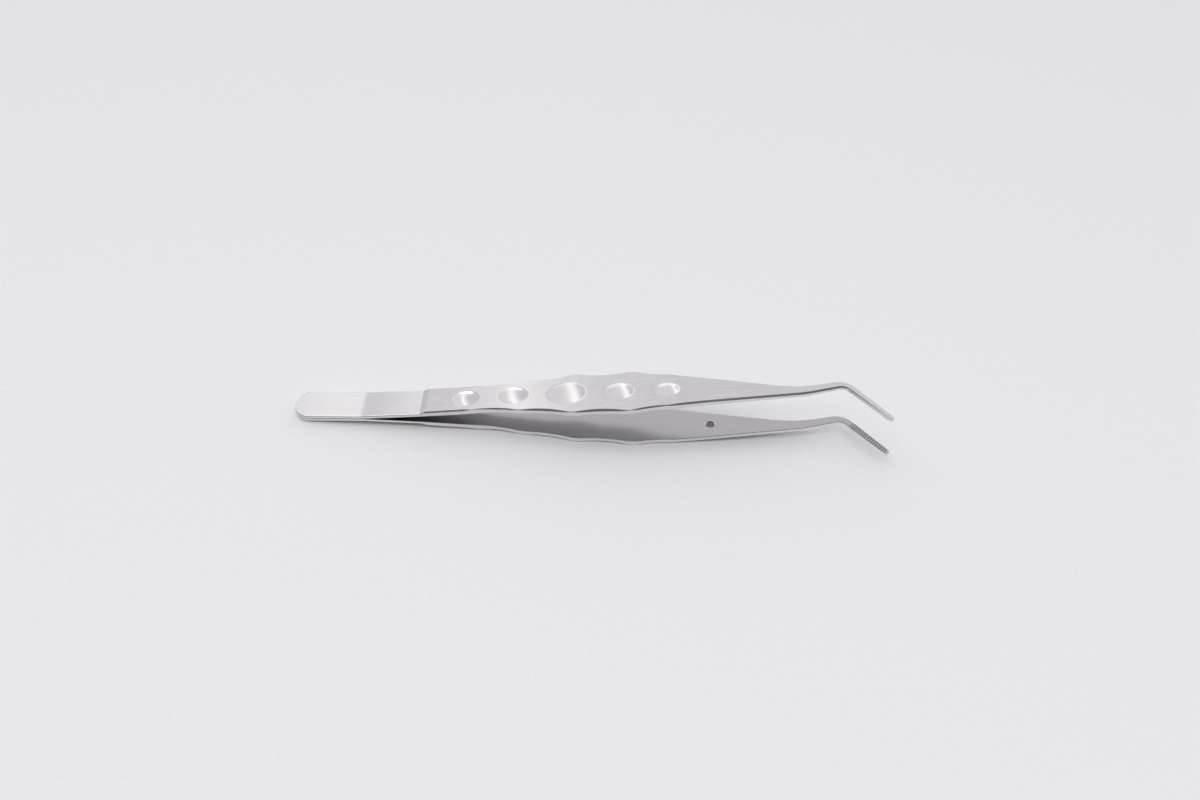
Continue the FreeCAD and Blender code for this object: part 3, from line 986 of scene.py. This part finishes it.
@dataclass
class Ribs:
    """The cross ribs between the files, on the inner face of one beak."""

    side: Side
    placing: Placing
    steel: bpy.types.Material
    serrations: Serrations = Serrations()
    inset: float = 0.05
    bend_clear: float = 1.0
    crease_angle: float = 20.0

    def tree(self) -> bpy.types.NodeTree:
        """Builds the node tree that sets ribs side by side along x, with widths that change evenly.

        Returns:
            The tree, with inputs for the number of ribs and their sizes.
        """
        tree = bpy.data.node_groups.new("cross_ribs", "GeometryNodeTree")
        face = tree.interface
        face.new_socket("Ribs", in_out="OUTPUT", socket_type="NodeSocketGeometry")
        face.new_socket("Count", in_out="INPUT", socket_type="NodeSocketInt")
        for name in ("Pitch", "Base", "Top", "Depth", "First Width", "Last Width"):
            face.new_socket(name, in_out="INPUT", socket_type="NodeSocketFloat")
        face.new_socket("Steel", in_out="INPUT", socket_type="NodeSocketMaterial")
        graph = Graph(tree)
        group = tree.nodes.new("NodeGroupInput")
        given = {socket.name: Signal(graph, socket) for socket in group.outputs if socket.name}
        pitch = graph.vector(given["Pitch"], 0.0, 0.0)
        points = graph.node("GeometryNodeMeshLine", {}, {"Count": given["Count"], "Offset": pitch})
        size = graph.vector(given["Base"], 1.0, given["Depth"])
        block = graph.node("GeometryNodeMeshCube", {}, {"Size": size}, "Mesh")
        spot = graph.node("GeometryNodeInputPosition", {}, {})
        height = graph.split(spot)[2]
        upper = graph.node("FunctionNodeCompare", {"operation": "GREATER_THAN"}, {0: height, 1: 0.0})
        narrow = given["Top"] / given["Base"]
        drawn_in = graph.vector(narrow, 1.0, 1.0)
        tapered = graph.node("ShaderNodeVectorMath", {"operation": "MULTIPLY"}, {0: spot, 1: drawn_in})
        moved = {"Geometry": block, "Selection": upper, "Position": tapered}
        rib = graph.node("GeometryNodeSetPosition", {}, moved)
        index = graph.node("GeometryNodeInputIndex", {}, {})
        part = index / (given["Count"] - 1.0)
        width = given["First Width"] + (given["Last Width"] - given["First Width"]) * part
        stretch = graph.vector(1.0, width, 1.0)
        spread = {"Points": points, "Instance": rib, "Scale": stretch}
        row = graph.node("GeometryNodeInstanceOnPoints", {}, spread)
        plain = graph.node("GeometryNodeRealizeInstances", {}, {"Geometry": row})
        finish = {"Geometry": plain, "Material": given["Steel"]}
        dressed = graph.node("GeometryNodeSetMaterial", {}, finish)
        graph.node("NodeGroupOutput", {}, {"Ribs": dressed})
        return tree

    def build(self) -> bpy.types.Object:
        """Sets the ribs on the beak.

        Returns:
            The finished piece.
        """
        view, plan, cut = self.placing.side_view, self.placing.plan, self.serrations
        bend, tip = cut.middles(plan)
        length = float(np.linalg.norm(tip - bend))
        along = (tip - bend) / length
        across = np.array([-along[1], along[0]])
        edges = {}
        for edge in Edge:
            line = plan.beak_line(edge) - bend
            corner = np.argmin(np.linalg.norm(line + bend - plan.tip(edge), axis=1))
            late = line[: corner + 1] @ along
            beyond = late > self.bend_clear
            edges[edge] = (late[beyond], (line[: corner + 1] @ across)[beyond])
        count = cut.count(plan) - 1
        first, last = cut.start + cut.pitch / 2, cut.start + cut.pitch * (count - 0.5)
        spans = [[np.interp(reach, *edges[edge]) for edge in Edge] for reach in (first, last)]
        widths = [abs(span[0] - span[1]) - self.inset for span in spans]
        middles = [(span[0] + span[1]) / 2 for span in spans]
        sizes = {
            "Count": count,
            "Pitch": cut.pitch,
            "Base": cut.pitch,
            "Top": cut.pitch - 2 * cut.depth,
            "Depth": cut.depth,
            "First Width": widths[0],
            "Last Width": widths[1],
            "Steel": self.steel,
        }
        piece = new_object(f"{self.side.value}_beak_ribs", bpy.data.meshes.new("ribs"))
        tree = self.tree()
        modifier = piece.modifiers.new("ribs", "NODES")
        modifier.node_group = tree
        for socket in tree.interface.items_tree:
            if socket.in_out == "INPUT":
                modifier[socket.identifier] = sizes[socket.name]
        apply(piece)
        slope = math.atan(view.beak_slope)
        spot = bend + along * first + across * middles[0]
        drift = math.atan2(middles[1] - middles[0], last - first)
        heading = math.atan2(along[1], along[0]) + drift
        height = view.grip_thickness + view.beak_slope * (spot[0] - view.shoulder_x)
        turn = Matrix.Rotation(-slope, 4, "Y") @ Matrix.Rotation(heading, 4, "Z")
        sunk = Matrix.Translation((0, 0, -cut.depth / 2))
        piece.data.transform(Matrix.Translation((spot[0], spot[1], height)) @ turn @ sunk)
        smooth(piece.data, self.crease_angle)
        # The ribs take the inner faces' dull colour: a duller finish with painted shade between the
        # arms.
        store(piece.data, "inside", np.ones(len(piece.data.vertices)))
        self.placing.put(piece.data, self.side)
        return piece

    def dress(self, piece: bpy.types.Object) -> None:
        """Puts the ribs on the body, in the same steel as the arm."""
        piece.data.materials.clear()
        piece.data.materials.append(self.steel)
        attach(piece, "root")


@dataclass
class GuidePin:
    """The pin under the upper arm that drops into the guide hole. Its solid is right as it is."""

    steel: bpy.types.Material

    def dress(self) -> None:
        """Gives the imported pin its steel."""
        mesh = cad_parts["guide_pin"].data
        if mesh.materials:
            mesh.materials[0] = self.steel
        else:
            mesh.materials.append(self.steel)


@dataclass(frozen=True)
class Lamp:
    """One soft rectangular lamp that faces the pliers. Places and sizes are in metres."""

    name: str
    place: tuple
    size: tuple
    power: float

    def build(self) -> None:
        """Hangs the lamp."""
        light = bpy.data.lights.new(self.name, "AREA")
        light.shape = "RECTANGLE"
        light.size, light.size_y = self.size
        light.energy = self.power
        lamp = bpy.data.objects.new(self.name, light)
        bpy.context.scene.collection.objects.link(lamp)
        lamp.location = self.place
        lamp.rotation_mode = "QUATERNION"
        lamp.rotation_quaternion = (Vector() - Vector(self.place)).to_track_quat("-Z", "Y")


@dataclass
class Studio:
    """The pale table, the soft lamps, the mirrored room and the camera of the photograph.

    The pairs of numbers say between which directions one tone of the room gives way to the next.
    """

    placing: Placing
    lamps: tuple = (
        Lamp("key_lamp", (0.05, -0.36, 1.25), (1.2, 0.7), 6.6),
        Lamp("left_lamp", (-0.60, 0.20, 1.1), (0.35, 0.35), 0.9),
    )
    floor_half: float = 2.5
    floor_drop: float = 0.00002
    camera_turn: float = 3.75
    camera_elevation: float = 50.4
    camera_distance: float = 348.0
    camera_lens: float = 41.4
    camera_sensor: float = 36.0
    camera_clip: tuple = (0.01, 20.0)
    camera_aim: tuple = (75.0, 0.0, 5.0)
    camera_aside: float = 2.88
    camera_lift: float = 2.76
    room_level: float = 1.60
    room_front: tuple = (0.11, 0.11, 0.12, 1.0)
    room_grey: tuple = (0.46, 0.45, 0.485, 1.0)
    room_light: tuple = (0.54, 0.53, 0.552, 1.0)
    room_white: tuple = (1.0, 0.99, 0.98, 1.0)
    heel_wall: tuple = (-0.365, -0.345)
    strip_start: tuple = (-0.37, -0.35)
    strip_end: tuple = (-0.308, -0.28)
    ceiling: tuple = (0.87, 0.97)
    ceiling_share: float = 0.55
    front_wall: tuple = (-0.20, 0.20)

    def floor(self) -> None:
        """Lays the table."""
        half = self.floor_half
        mesh = bpy.data.meshes.new("table_mesh")
        corners = [(-half, -half, 0), (half, -half, 0), (half, half, 0), (-half, half, 0)]
        mesh.from_pydata(corners, [], [(0, 1, 2, 3)])
        table = new_object("table_top", mesh)
        table.location.z = -self.floor_drop
        mesh.materials.append(Paper().build())

    def surroundings(self) -> None:
        """Paints the room that the steel mirrors.

        It is pale behind and dim in front, grey beyond the heel, with a white strip beside the grey
        and a white ceiling.
        """
        world = bpy.data.worlds.new("pale_room")
        bpy.context.scene.world = world
        world.use_nodes = True
        graph = Graph(world.node_tree)
        direction = graph.node("ShaderNodeTexCoord", {}, {}, "Generated")
        across, behind, above = graph.split(direction)
        wall = graph.mix(across.between(*self.heel_wall), self.room_grey, self.room_light)
        strip = across.between(*self.strip_start) * (1 - across.between(*self.strip_end))
        wall = graph.mix(strip, wall, self.room_white)
        ceiling = above.between(*self.ceiling) * self.ceiling_share
        wall = graph.mix(ceiling, wall, self.room_white)
        colour = graph.mix(behind.between(*self.front_wall), self.room_front, wall)
        glow = {"Color": colour, "Strength": self.room_level}
        background = graph.node("ShaderNodeBackground", {}, glow)
        graph.node("ShaderNodeOutputWorld", {}, {"Surface": background})

    def camera(self) -> None:
        """Sets the camera at the photograph's viewpoint."""
        turn, tilt = math.radians(self.camera_turn), math.radians(self.camera_elevation)
        right = Vector((math.cos(turn), math.sin(turn), 0))
        ahead = math.cos(tilt)
        forward = Vector((-math.sin(turn) * ahead, math.cos(turn) * ahead, -math.sin(tilt)))
        up = right.cross(forward)
        centre = Vector(self.camera_aim) + right * self.camera_aside + up * self.camera_lift
        centre -= forward * self.camera_distance
        data = bpy.data.cameras.new("photo_camera")
        data.lens = self.camera_lens
        data.sensor_width = self.camera_sensor
        data.clip_start, data.clip_end = self.camera_clip
        camera = bpy.data.objects.new("photo_camera", data)
        bpy.context.scene.collection.objects.link(camera)
        camera.matrix_world = Matrix.Translation((centre + self.placing.shift) * MM) @ Matrix(
            (
                (right.x, up.x, -forward.x, 0),
                (right.y, up.y, -forward.y, 0),
                (right.z, up.z, -forward.z, 0),
                (0, 0, 0, 1),
            )
        )
        bpy.context.scene.camera = camera

    def build(self) -> None:
        """Sets up the table, the lamps, the room and the camera."""
        self.floor()
        for lamp in self.lamps:
            lamp.build()
        self.surroundings()
        self.camera()
        bpy.context.scene.view_settings.view_transform = "Standard"


def main() -> None:
    """Builds the pliers and the studio, and reports each piece."""
    logging.basicConfig(level=logging.INFO, format="%(name)s: %(message)s")
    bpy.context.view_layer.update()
    placing = Placing(SideView(), PlanView())
    satin = Steel("satin_steel").build()
    pin_steel = Steel("pin_steel", roughness=PIN_ROUGHNESS).build()
    for side in Side:
        arm = Arm(side, placing, satin, painted_wall_reflection=PAINTED_WALL_REFLECTION[side])
        piece = arm.build()
        arm.dress(piece)
        log.info("%s: %d faces", piece.name, len(piece.data.polygons))
        ribs = Ribs(side, placing, satin)
        row = ribs.build()
        ribs.dress(row)
        log.info("%s: %d faces", row.name, len(row.data.polygons))
    GuidePin(pin_steel).dress()
    log.info("guide_pin: dressed in %s", pin_steel.name)
    Studio(placing).build()
    log.info("studio: table, two lamps and camera")


if __name__ == "__main__":
    main()
